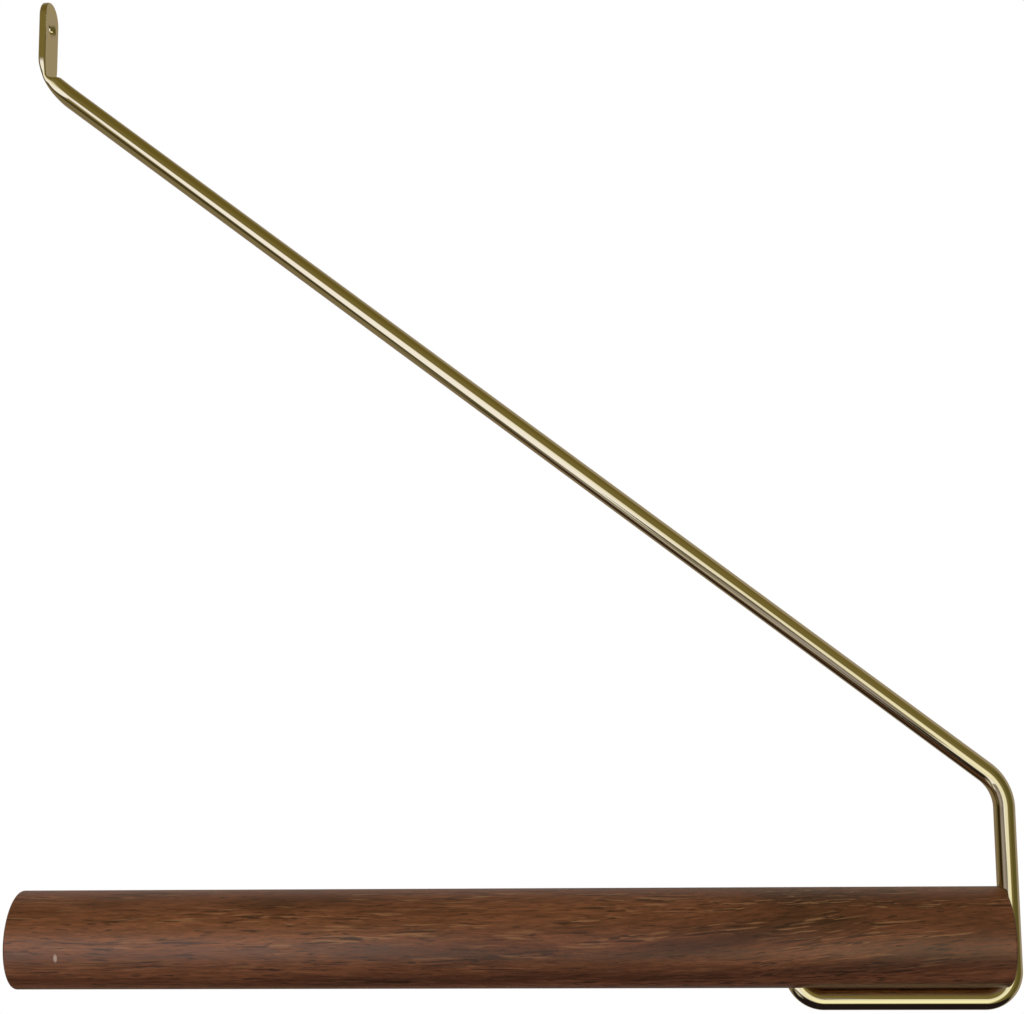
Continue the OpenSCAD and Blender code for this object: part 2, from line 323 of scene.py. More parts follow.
class Course:
    """The stay's centre line, and the sections of its forged neck, in the plane of x and z."""

    # The elbow, where the tab's and the slope's middles meet: how far it is below the screw hole,
    # and the radius of the arc at its back
    elbow_drop = 19.4 * MM
    elbow_r = 12.8 * MM
    # The sharp crease in front of it: its radius, and how far it stands in front of the middle
    crease_r = 1.0 * MM
    crease_h = 1.0 * MM
    # How far the neck reaches above the arc and below the elbow
    neck_above = 1.5 * MM
    neck_below = 12.2 * MM
    # How soon the front swells out to the rod, and how far up the back starts to round
    front_swell = 3.0 * MM
    back_above = 2.8 * MM
    # The fan of sections turns on the spot, and counts as an arc of this radius along the neck
    fan_r = 3.2 * MM

    def __init__(self, s):
        self.s = s
        self.rod_r = s.rod / 2
        self.leg_x = s.arm_length - s.groove_depth + self.rod_r
        self.foot_z = ARM_LOW.z - s.foot_gap - self.rod_r
        self.tip_x = self.leg_x - s.foot_length
        self.tip_z = ARM_LOW.z + s.tip_depth
        self.tab_mid = s.tab_thickness / 2
        self.round_z = STAY_HIGH.z - s.tab_width / 2
        elbow_z = s.screw_height - self.elbow_drop
        self.elbow = Vector((self.tab_mid, elbow_z))
        slope = math.atan2(elbow_z - s.bend_height, self.leg_x - self.tab_mid)
        self.down = Vector((math.cos(slope), -math.sin(slope)))
        self.turn = math.pi / 2 - slope
        self.back_cut = self.elbow_r * math.tan(self.turn / 2)
        self.back_centre = self.elbow + Vector((self.elbow_r, self.back_cut))
        self.neck_top = elbow_z + self.back_cut + self.neck_above
        pivot_x = s.tab_thickness + self.crease_r
        rise = self.crease_h + self.crease_r - (pivot_x - self.tab_mid) * math.sin(slope)
        self.pivot = Vector((pivot_x, elbow_z + rise / math.cos(slope)))
        self.pivot_along = (self.pivot - self.elbow).dot(self.down)
        self.above = self.neck_top - self.pivot.y
        self.fan = self.fan_r * self.turn
        self.below = self.neck_below - self.pivot_along

    def section(self, at, turn, past, s, t):
        """Middle, outward direction, half sizes and corner radii of the neck's section at a point.

        Here s is the way along the neck from the pivot, t is how far down the slope the section
        is from it, and past says that it is beyond the arc at the back, where the back is straight.
        """
        neck = self.fan + self.below
        out = Vector((math.cos(turn), math.sin(turn)))
        narrow = smooth((s + self.above) / (neck + self.above))
        front = smooth(t / self.front_swell)
        back = smooth((s + self.back_above) / (neck + self.back_above))
        r = self.elbow_r + blend(self.tab_mid, self.rod_r, back)
        v = at - self.back_centre
        aside = 0.0 if past else v.dot(v) - v.dot(out) ** 2
        p = at - (v.dot(out) + math.sqrt(r * r - aside)) * out
        q = at + (front * (self.rod_r - self.crease_h) - self.crease_r) * out
        return {
            "mid": (p + q) / 2,
            "out": out,
            "w": blend(self.s.tab_width / 2, self.rod_r, narrow),
            "h": (q - p).length / 2,
            "front": blend(self.s.tab_edge, self.rod_r, front),
            "back": blend(self.s.tab_edge, self.rod_r, back),
        }

    def neck(self, above_n=16, fan_n=24, below_n=26):
        """The neck's sections, from just above the rod to just below the tab."""
        sections = []
        for i in range(below_n - 1, -1, -1):
            d = self.below * i / below_n
            sections.append(self.section(
                self.pivot + d * self.down, self.turn, self.pivot_along + d > self.back_cut,
                self.fan + d, d))
        for i in range(fan_n - 1, -1, -1):
            u = i / fan_n
            sections.append(self.section(self.pivot, u * self.turn, False, u * self.fan, 0))
        for i in range(1, above_n + 1):
            d = self.above * i / above_n
            at = self.pivot + Vector((0, d))
            sections.append(self.section(at, 0, at.y > self.back_centre.y, -d, 0))
        return sections


def place_on_section(section, around):
    """The point of a section at an angle round it: 0 is to the side, and 90 degrees in front."""
    c, s = math.cos(around), math.sin(around)
    w, h = section["w"], section["h"]
    r = min(w, h, section["front"] if s > 0 else section["back"])
    side = math.copysign(w - r, c) + r * c
    out = math.copysign(h - r, s) + r * s
    return Vector((
        section["mid"].x + out * section["out"].x, side, section["mid"].y + out * section["out"].y))


# ---------------------------------------------------------------- materials

def add_node(tree, kind, inputs=None, **settings):
    """Add a node with its settings, and give its inputs values or other nodes' outputs."""
    made = tree.nodes.new(kind)
    for name, value in settings.items():
        setattr(made, name, value)
    for socket, value in (inputs or {}).items():
        if isinstance(value, bpy.types.NodeSocket):
            tree.links.new(value, made.inputs[socket])
        else:
            made.inputs[socket].default_value = value
    return made


# Settings of a node that rises softly from one value to another, and of one that mixes colours
SOFT = {"interpolation_type": "SMOOTHSTEP"}
COLOURS = {"data_type": "RGBA"}


def new_material(name):
    """A material that is still empty, and its node tree."""
    made = bpy.data.materials.new(name)
    made.use_nodes = True
    made.node_tree.nodes.clear()
    return made, made.node_tree


def oiled_walnut(c):
    """American walnut, turned, sanded along the grain and finished with satin oil lacquer.

    The eye gets brown growth bands along the arm, dark open pores 4 to 15 mm long, thin pale
    fibres, and a soft sheen that breaks up where the pores are.
    """
    material, tree = new_material("oiled_walnut")
    at = add_node(tree, "ShaderNodeTexCoord").outputs["Object"]
    split = add_node(tree, "ShaderNodeSeparateXYZ", {0: at})
    along, height = split.outputs[0], split.outputs[2]

    # The grain runs up a little towards the outer end, as the blank was sawn
    rise = add_node(tree, "ShaderNodeMapRange", {
        0: along, 1: 0.17, 2: 0.36, 3: 0.0, 4: 14 * MM}, **SOFT)
    down = add_node(tree, "ShaderNodeCombineXYZ", {2: rise.outputs[0]})
    level = add_node(tree, "ShaderNodeVectorMath", {
        0: at, 1: down.outputs[0]}, operation="SUBTRACT")

    # Slow wander of the fibres: up to 1.6 mm either way, in waves 40 mm long and 12 mm high
    wander = add_node(tree, "ShaderNodeVectorMath", {
        0: level.outputs[0], 1: (1 / 0.040, 1 / 0.012, 1 / 0.012)}, operation="MULTIPLY")
    wander = add_node(tree, "ShaderNodeTexNoise", {
        "Vector": wander.outputs[0], "Scale": 1.0, "Detail": 3.0, "Roughness": 0.5})
    shift = add_node(tree, "ShaderNodeVectorMath", {
        0: wander.outputs["Color"], 1: (0.5, 0.5, 0.5)}, operation="SUBTRACT")
    shift = add_node(tree, "ShaderNodeVectorMath", {
        0: shift.outputs[0], 1: (0.0, 3.2 * MM, 3.2 * MM)}, operation="MULTIPLY")
    fibre = add_node(tree, "ShaderNodeVectorMath", {
        0: level.outputs[0], 1: shift.outputs[0]}, operation="ADD").outputs[0]

    # Figure drawn out along the arm. Each has the length and width of its features, its detail and
    # roughness, where in the noise it starts, and what it rises between, and from and to.
    figures = {
        # Broad patches
        "patches": (0.070, 0.011, 2.0, 0.55, 8.4, None),
        # Fibres, and finer ones
        "coarse": (0.016, 0.0010, 3.0, 0.6, 7.7, (0.34, 0.66, 0.80, 1.18)),
        "fine": (0.0050, 0.00042, 2.0, 0.65, 1.9, (0.34, 0.66, 0.80, 1.20)),
        # Loose rows, and the pale fibres and dark pores in them, which lie beside each other
        "rows": (0.055, 0.0060, 1.0, 0.5, 5.5, (0.42, 0.56, 0.0, 1.0)),
        "pale": (0.016, 0.00075, 1.5, 0.5, 21.0, (0.56, 0.64, 0.0, 1.0)),
        "dashes": (0.016, 0.00075, 1.5, 0.5, 21.45, (0.58, 0.64, 0.0, 1.0)),
        # Short pores all over
        "specks": (0.0065, 0.00055, 1.0, 0.5, 33.0, (0.64, 0.70, 0.0, 1.0)),
    }
    grain = {}
    for name, (length_m, width_m, detail, roughness, start_at, rises) in figures.items():
        stretched = add_node(tree, "ShaderNodeVectorMath", {
            0: fibre, 1: (1 / length_m, 1 / width_m, 1 / width_m), 2: (start_at,) * 3},
            operation="MULTIPLY_ADD")
        grain[name] = add_node(tree, "ShaderNodeTexNoise", {
            "Vector": stretched.outputs[0], "Scale": 1.0, "Detail": detail,
            "Roughness": roughness}).outputs["Fac"]
        if rises:
            low, high, start_value, end_value = rises
            grain[name] = add_node(tree, "ShaderNodeMapRange", {
                0: grain[name], 1: low, 2: high, 3: start_value, 4: end_value}, **SOFT).outputs[0]

    # Growth bands, 9 mm apart round a heart 53 mm away
    heart = add_node(tree, "ShaderNodeVectorMath", {
        0: fibre, 1: (0.0, -0.034, 0.041)}, operation="ADD")
    bands = add_node(tree, "ShaderNodeTexWave", {
        "Vector": heart.outputs[0], "Scale": 2 * math.pi / (20 * 0.009), "Distortion": 2.5,
        "Detail": 2.0, "Detail Scale": 0.6, "Detail Roughness": 0.55},
        wave_type="RINGS", rings_direction="X", wave_profile="SIN")

    # The tone of the wood: the wall end is painted a little paler than its outer end, partly as the
    # blank's own paler wood and partly as painted sheen
    tone_and_painted_sheen = add_node(tree, "ShaderNodeMapRange", {
        0: along, 1: 0.0, 2: 0.30, 3: 0.11, 4: -0.04}, **SOFT)
    for part, share in ((bands.outputs["Fac"], 0.26), (grain["patches"], 0.80)):
        tone_and_painted_sheen = add_node(tree, "ShaderNodeMath", {
            0: part, 1: share, 2: tone_and_painted_sheen.outputs[0]}, operation="MULTIPLY_ADD")
    ramp = add_node(tree, "ShaderNodeValToRGB", {0: tone_and_painted_sheen.outputs[0]})
    stops = ramp.color_ramp.elements
    stops[0].position, stops[0].color = 0.32, (*c.walnut_dark, 1)
    stops[1].position, stops[1].color = 0.78, (*c.walnut_light, 1)
    stops.new(0.52).color = (*c.walnut_mid, 1)

    # Most of the pale fibres are on the upper side, and both they and the dashes keep to the rows
    upper = add_node(tree, "ShaderNodeMapRange", {
        0: height, 1: -8 * MM, 2: 5 * MM, 3: 0.40, 4: 1.0}, **SOFT)
    pale = add_node(tree, "ShaderNodeMath", {
        0: upper.outputs[0], 1: grain["pale"]}, operation="MULTIPLY")
    pale = add_node(tree, "ShaderNodeMath", {
        0: grain["rows"], 1: pale.outputs[0]}, operation="MULTIPLY").outputs[0]
    dashes = add_node(tree, "ShaderNodeMath", {
        0: grain["rows"], 1: grain["dashes"]}, operation="MULTIPLY")
    pores = add_node(tree, "ShaderNodeMath", {
        0: dashes.outputs[0], 1: grain["specks"]}, operation="MAXIMUM").outputs[0]

    # One small nick near the wall end, 1.4 mm wide and 3 mm high
    away = add_node(tree, "ShaderNodeVectorMath", {
        0: at, 1: (-17.5 * MM, 15.5 * MM, 3.6 * MM)}, operation="ADD")
    away = add_node(tree, "ShaderNodeVectorMath", {
        0: away.outputs[0], 1: (1 / 0.0006, 1 / 0.004, 1 / 0.0013)}, operation="MULTIPLY")
    away = add_node(tree, "ShaderNodeVectorMath", {0: away.outputs[0]}, operation="LENGTH")
    nick = add_node(tree, "ShaderNodeMapRange", {
        0: away.outputs["Value"], 1: 0.6, 2: 1.3, 3: 1.0, 4: 0.0}, **SOFT).outputs[0]

    # The sawn ends, up to where their rounded edges turn along the grain
    half = ARM_HIGH.x / 2
    aside = add_node(tree, "ShaderNodeMath", {0: along, 1: half}, operation="SUBTRACT")
    aside = add_node(tree, "ShaderNodeMath", {0: aside.outputs[0]}, operation="ABSOLUTE")
    end_grain = add_node(tree, "ShaderNodeMapRange", {
        0: aside.outputs[0], 1: half - 0.32 * MM, 2: half - 0.04 * MM}, **SOFT).outputs[0]

    # All laid over the tone, one after another. The ends drink more oil, so they are darker.
    wood = ramp.outputs[0]
    for fibres in ("coarse", "fine"):
        wood = add_node(tree, "ShaderNodeMix", {
            0: 1.0, 6: wood, 7: grain[fibres]}, blend_type="MULTIPLY", **COLOURS).outputs[2]
    for mark, strength, tint in ((pale, 0.56, c.walnut_streak), (pores, 0.80, c.walnut_pore),
                                 (nick, 0.80, c.walnut_nick), (end_grain, 0.45, c.walnut_pore)):
        share = add_node(tree, "ShaderNodeMath", {0: mark, 1: strength}, operation="MULTIPLY")
        wood = add_node(tree, "ShaderNodeMix", {
            0: share.outputs[0], 6: wood, 7: (*tint, 1)}, **COLOURS).outputs[2]

    # Duller on the coarse fibres, and much duller on the ends
    rough = add_node(tree, "ShaderNodeMapRange", {
        0: grain["coarse"], 1: 0.80, 2: 1.18, 3: 0.37, 4: 0.44}, **SOFT)
    rough = add_node(tree, "ShaderNodeMath", {
        0: end_grain, 1: 0.25, 2: rough.outputs[0]}, operation="MULTIPLY_ADD")
    relief = add_node(tree, "ShaderNodeMath", {
        0: pores, 1: -1.0, 2: grain["coarse"]}, operation="MULTIPLY_ADD")
    bump = add_node(tree, "ShaderNodeBump", {
        "Height": relief.outputs[0], "Strength": 0.22, "Distance": 0.12 * MM})
    surface = add_node(tree, "ShaderNodeBsdfPrincipled", {
        "Base Color": wood, "Roughness": rough.outputs[0], "Normal": bump.outputs[0], "IOR": 1.5,
        "Specular IOR Level": 1.0, "Specular Tint": linear("#FFEACA")})
    add_node(tree, "ShaderNodeOutputMaterial", {"Surface": surface.outputs[0]})
    return material


def polished_brass(c):
    """Brass rod, drawn, bent, mirror polished along its length and lacquered.

    The eye gets a clear reflection of the room in long lines, with the slight waver and the faint
    haze that a hand-polished rod has.
    """
    material, tree = new_material("polished_brass")
    at = add_node(tree, "ShaderNodeTexCoord").outputs["Object"]
    # Waver of a buffed surface, about 14 mm across
    waver = add_node(tree, "ShaderNodeTexNoise", {
        "Vector": at, "Scale": 1 / 0.014, "Detail": 1.0, "Roughness": 0.4}).outputs["Fac"]
    # Haze left by the buffing wheel, in patches of 5 mm
    haze = add_node(tree, "ShaderNodeTexNoise", {
        "Vector": at, "Scale": 1 / 0.005, "Detail": 3.0, "Roughness": 0.6}).outputs["Fac"]
    rough = add_node(tree, "ShaderNodeMapRange", {
        0: haze, 1: 0.3, 2: 0.7, 3: 0.04, 4: 0.08}).outputs[0]
    tint = add_node(tree, "ShaderNodeMix", {
        0: haze, 6: [*(0.97 * v for v in c.brass), 1], 7: (*c.brass, 1)}, **COLOURS).outputs[2]
    bump = add_node(tree, "ShaderNodeBump", {
        "Height": waver, "Strength": 0.10, "Distance": 0.15 * MM})
    surface = add_node(tree, "ShaderNodeBsdfPrincipled", {
        "Base Color": tint, "Roughness": rough, "Normal": bump.outputs[0], "Metallic": 1.0})
    add_node(tree, "ShaderNodeOutputMaterial", {"Surface": surface.outputs[0]})
    return material


def machined_brass(c):
    """Free-cutting brass, turned on a lathe and left as machined.

    The eye gets fine rings from the tool, 0.2 mm apart, and a duller gleam than the stay has.
    """
    material, tree = new_material("machined_brass")
    at = add_node(tree, "ShaderNodeTexCoord").outputs["Object"]
    rings = add_node(tree, "ShaderNodeTexWave", {
        "Vector": at, "Scale": 2 * math.pi / (20 * 0.0002), "Distortion": 0.5, "Detail": 1.0},
        wave_type="RINGS", rings_direction="X", wave_profile="SAW").outputs["Fac"]
    spots = add_node(tree, "ShaderNodeTexNoise", {
        "Vector": at, "Scale": 1 / 0.002, "Detail": 3.0, "Roughness": 0.6}).outputs["Fac"]
    rough = add_node(tree, "ShaderNodeMapRange", {
        0: spots, 1: 0.3, 2: 0.7, 3: 0.22, 4: 0.34}).outputs[0]
    tint = add_node(tree, "ShaderNodeMix", {
        0: spots, 6: [*(0.85 * v for v in c.insert_brass), 1], 7: (*c.insert_brass, 1)},
        **COLOURS).outputs[2]
    bump = add_node(tree, "ShaderNodeBump", {
        "Height": rings, "Strength": 0.15, "Distance": 0.02 * MM})
    surface = add_node(tree, "ShaderNodeBsdfPrincipled", {
        "Base Color": tint, "Roughness": rough, "Normal": bump.outputs[0], "Metallic": 1.0})
    add_node(tree, "ShaderNodeOutputMaterial", {"Surface": surface.outputs[0]})
    return material


def matt_paper(tint, middle):
    """Matt white paper, laid as a round floor.

    The eye gets a plain pale ground that shows the rack's shadow. To the camera it is nearly white
    under the rack and runs out into the white background. From below the camera looks through it.
    """
    material, tree = new_material("matt_paper")
    at = add_node(tree, "ShaderNodeTexCoord").outputs["Object"]
    # Fibres of 2.5 mm
    fibres = add_node(tree, "ShaderNodeTexNoise", {
        "Vector": at, "Scale": 1 / 0.0025, "Detail": 2.0}).outputs["Fac"]
    paper = add_node(tree, "ShaderNodeMix", {
        0: fibres, 6: [*(0.97 * v for v in tint), 1], 7: (*tint, 1)}, **COLOURS)
    seen = add_node(tree, "ShaderNodeLightPath").outputs["Is Camera Ray"]
    away = add_node(tree, "ShaderNodeVectorMath", {0: at, 1: middle}, operation="DISTANCE")
    paler = add_node(tree, "ShaderNodeMapRange", {
        0: away.outputs["Value"], 1: 0.5, 2: 1.8, 3: 0.30, 4: 1.0}, **SOFT)
    paler = add_node(tree, "ShaderNodeMath", {
        0: seen, 1: paler.outputs[0]}, operation="MULTIPLY")
    surface = add_node(tree, "ShaderNodeBsdfPrincipled", {
        "Base Color": paper.outputs[2], "Roughness": 0.9, "Specular IOR Level": 0.1,
        "Emission Color": (1, 1, 1, 1), "Emission Strength": paler.outputs[0]})
    under = add_node(tree, "ShaderNodeNewGeometry").outputs["Backfacing"]
    through = add_node(tree, "ShaderNodeMath", {0: seen, 1: under}, operation="MULTIPLY")
    clear = add_node(tree, "ShaderNodeBsdfTransparent")
    both = add_node(tree, "ShaderNodeMixShader", {
        0: through.outputs[0], 1: surface.outputs[0], 2: clear.outputs[0]})
    add_node(tree, "ShaderNodeOutputMaterial", {"Surface": both.outputs[0]})
    return material


# ---------------------------------------------------------------- operators

class RACK_OT_stay(bpy.types.Operator):
    """Bend the brass rod, forge its tab and drill it"""

    bl_idname = "rack.stay"
    bl_label = "Brass stay"

    def execute(self, context):
        s = context.scene.rack_sizes
        way = Course(s)
        r, big, small = way.rod_r, s.bend_radius, s.corner_radius

        # The tip's rim, half a step round, with each vertex's angle written on it for the neck
        start("circle", vertices=ROUND, radius=r - s.tip_chamfer, fill_type="NOTHING",
              location=(way.tip_x, 0, way.tip_z), rotation=(0, 0, math.pi / ROUND))
        bpy.ops.object.mode_set(mode="OBJECT")
        rod = context.object
        around = rod.data.attributes.new("around", "FLOAT", "POINT")
        for i, v in enumerate(rod.data.vertices):
            around.data[i].value = math.atan2(way.tip_x - v.co.x, v.co.y)
        bpy.ops.object.mode_set(mode="EDIT")
        bpy.ops.mesh.select_mode(type="VERT")
        bpy.ops.mesh.select_all(action="SELECT")

        # The chamfer, then down, round the toe, along the foot, round the heel and up the leg
        run_on((0, 0, -s.tip_chamfer), r / (r - s.tip_chamfer))
        run_on((0, 0, way.foot_z + small - (way.tip_z - s.tip_chamfer)))
        toe = (way.tip_x + small, 0, way.foot_z + small)
        bend_on(math.pi / 2, toe, (toe[0], 0, way.foot_z), 28)
        run_on((way.leg_x - way.tip_x - 2 * small, 0, 0))
        heel = (way.leg_x - small, 0, way.foot_z + small)
        bend_on(math.pi / 2, heel, (way.leg_x, 0, heel[2]), 28)
        cut_off = big * math.tan(way.turn / 2)
        run_on((0, 0, s.bend_height - cut_off - heel[2]))

        # Over the upper bend and up the slope to where the forging starts
        high = s.bend_height - cut_off
        end = Vector((way.leg_x, s.bend_height)) - cut_off * way.down
        bend_on(way.turn, (way.leg_x - big, 0, high), (end.x, 0, end.y), 26)
        forge = way.elbow + way.neck_below * way.down
        run_on((forge.x - end.x, 0, forge.y - end.y))

        # The neck, one section after another, then the flat tab
        for section in way.neck():
            bpy.ops.mesh.extrude_region_move(TRANSFORM_OT_translate={"value": (0, 0, 0)})
            edited = bmesh.from_edit_mesh(rod.data)
            written = edited.verts.layers.float["around"]
            for v in edited.verts:
                if v.select:
                    v.co = place_on_section(section, v[written])
            bmesh.update_edit_mesh(rod.data)
        run_on((0, 0, way.round_z - way.neck_top))

        # The tab's round end: half of the rim turns over the top to the other half
        tall = way.round_z - 1e-6
        choose("edges", lambda e: all(v.co.z > tall for v in e.verts)
               and e.verts[0].co.y * e.verts[1].co.y < 0 and e.calc_length() > s.tab_width / 2)
        bpy.ops.mesh.subdivide(number_cuts=1)
        choose("verts", lambda v: v.co.z > tall and v.co.y > -1e-6)
        bpy.ops.mesh.spin(steps=48, dupli=False, angle=-math.pi, center=(0, 0, way.round_z),
                          axis=(1, 0, 0))
        if max(v.co.z for v in bmesh.from_edit_mesh(rod.data).verts) < STAY_HIGH.z - 1e-5:
            raise RuntimeError("the tab's round end turned the wrong way")
        bpy.ops.mesh.select_all(action="SELECT")
        bpy.ops.mesh.remove_doubles(threshold=1e-6)
        choose("edges", lambda e: e.is_boundary)
        cap()
        rod = finish_edit("brass_stay")
        rod.data.attributes.remove(rod.data.attributes["around"])

        # The screw hole, its countersink with a lightly broken rim, and the burr taken off its back
        hole, sink, thick = s.screw_hole / 2, s.sink / 2, s.tab_thickness
        burr, broken, past = 0.2 * MM, 0.12 * MM, 0.02 * MM
        cut(rod, turned("screw_drill", (1, 0, 0), (0, 0, s.screw_height), [
            (-1 * MM, hole + burr), (0.0, hole + burr), (burr, hole),
            (thick - (sink - hole), hole), (thick - broken, sink - broken),
            (thick + past, sink + broken + past), (thick + 1 * MM, sink + broken + past)]))
        shade(rod, 32)
        settle(rod, "stay", polished_brass(context.scene.rack_colours))
        return {"FINISHED"}


class RACK_OT_arm(bpy.types.Operator):
    """Turn the walnut arm, groove its end, and drill it for the rod's tip and the insert"""

    bl_idname = "rack.arm"
    bl_label = "Walnut arm"

    def execute(self, context):
        s = context.scene.rack_sizes
        way = Course(s)
        arm_r = ARM_HIGH.z
        start("cylinder", vertices=256, radius=arm_r, depth=s.arm_length, end_fill_type="NGON",
              rotation=(0, math.pi / 2, 0), location=(s.arm_length / 2, 0, 0))
        choose("edges", lambda e: abs(e.verts[0].co.x - e.verts[1].co.x) < 1e-6)
        bpy.ops.mesh.bevel(offset=s.arm_edge, segments=6, profile=0.5, affect="EDGES")
        arm = finish_edit("walnut_arm")

        # The groove down the outer end, and the relief where the rod turns under
        r = way.rod_r + s.seat_gap
        cut(arm, turned("groove_cutter", (0, 0, 1), (way.leg_x, 0, 0), [
            (-arm_r - 1 * MM, r), (arm_r + 1 * MM, r)]))
        cut(arm, elbow_cutter("heel_cutter", way.leg_x, -1, way, r))

        # The blind hole for the tip, with its mouth hollowed towards the foot where the rod turns
        cut(arm, turned("tip_drill", (0, 0, 1), (way.tip_x, 0, 0), [
            (-arm_r - 1 * MM, r), (way.tip_z + s.drill_over, r)]))
        cut(arm, elbow_cutter("toe_cutter", way.tip_x, 1, way, r))

        # The hole for the insert
        hole = s.insert_width / 2 + s.insert_gap
        deep = s.insert_length + s.drill_over
        cut(arm, turned("insert_drill", (1, 0, 0), (0, 0, 0), [(-1 * MM, hole), (deep, hole)]))
        shade(arm, 30)
        settle(arm, "arm", oiled_walnut(context.scene.rack_colours))
        return {"FINISHED"}


class RACK_OT_insert(bpy.types.Operator):
    """Cut the threaded insert that takes the stud in the wall"""

    bl_idname = "rack.insert"
    bl_label = "Threaded insert"

    def execute(self, context):
        s = context.scene.rack_sizes
        outer, deep, pitch = s.insert_width / 2, s.insert_length, s.thread_pitch
        major = s.thread / 2
        minor = (s.thread - pitch) / 2
        root = outer - 0.8 * MM

        # The sleeve, with a coarse wood thread drawn as sharp ribs 2.5 mm apart, bored to the
        # inner thread's major size
        profile = [(0.0, outer - 0.5 * MM), (0.5 * MM, outer), (2.2 * MM, outer), (2.6 * MM, root)]
        ribs, first_rib, rib_pitch = 6, 3.6 * MM, 2.5 * MM
        for i in range(ribs):
            at = first_rib + i * rib_pitch
            profile += [(at, root), (at + 0.8 * MM, outer), (at + 1.1 * MM, outer),
                        (at + 1.6 * MM, root)]
        profile += [(deep - 1 * MM, root), (deep, outer - 1 * MM)]
        sleeve = turned("threaded_insert_sleeve", (1, 0, 0), (0, 0, 0), profile)
        cut(sleeve, turned("bore", (1, 0, 0), (0, 0, 0), [
            (-1 * MM, major + 1 * MM), (0.6 * MM, major), (deep - 0.6 * MM, major),
            (deep + 1 * MM, major + 1.6 * MM)]))

        # The driving slot across the outer face
        start("cube", size=1.0, location=(0, 0, 0),
              scale=(2 * s.slot_depth, s.insert_width + 2 * MM, s.slot_width))
        choose("edges", lambda e: abs(e.verts[0].co.y - e.verts[1].co.y) > 1 * MM)
        bpy.ops.mesh.bevel(offset=0.15 * MM, segments=2, affect="EDGES")
        cut(sleeve, finish_edit("slot_cutter"))

        # The inner thread starts behind the slot: one tooth, screwed along the bore
        first = s.slot_depth + 0.2 * MM
        turns = int((deep - first - 0.8 * MM) / pitch)
        start("plane", size=1 * MM, location=(0, 0, 0))
        bpy.ops.mesh.delete(type="ONLY_FACE")
        edited = bmesh.from_edit_mesh(context.object.data)
        tooth = [(0.05, major + 0.1 * MM), (0.44, minor), (0.56, minor), (0.95, major + 0.1 * MM)]
        edited.verts.ensure_lookup_table()
        order = [edited.verts[0]]
        while len(order) < 4:
            order.append(next(e.other_vert(order[-1]) for e in order[-1].link_edges
                              if e.other_vert(order[-1]) not in order))
        for v, (along, r) in zip(order, tooth):
            v.co = Vector((first + along * pitch, 0, r))
        bmesh.update_edit_mesh(context.object.data)
        bpy.ops.object.mode_set(mode="OBJECT")
        thread = context.object
        screw = thread.modifiers.new("screw", "SCREW")
        screw.axis = "X"
        screw.angle = 2 * math.pi
        screw.iterations = turns - 1
        screw.screw_offset = pitch
        screw.steps = 48
        screw.render_steps = 48
        screw.use_merge_vertices = False
        bpy.ops.object.modifier_apply(modifier=screw.name)
        bpy.ops.object.mode_set(mode="EDIT")
        for end in (min, max):
            edited = bmesh.from_edit_mesh(thread.data)
            edges = [e for e in edited.edges if e.is_boundary]
            place = end(sum(v.co.x for v in e.verts) / 2 for e in edges)
            choose("edges", lambda e: e.is_boundary
                   and abs(sum(v.co.x for v in e.verts) / 2 - place) < pitch)
            cap()
        thread = finish_edit("inner_thread")

        pick(thread, sleeve)
        bpy.ops.object.join()
        insert = context.object
        insert.name = insert.data.name = "brass_threaded_insert"
        shade(insert, 30)
        settle(insert, "threaded_insert",
               machined_brass(context.scene.rack_colours))
        return {"FINISHED"}


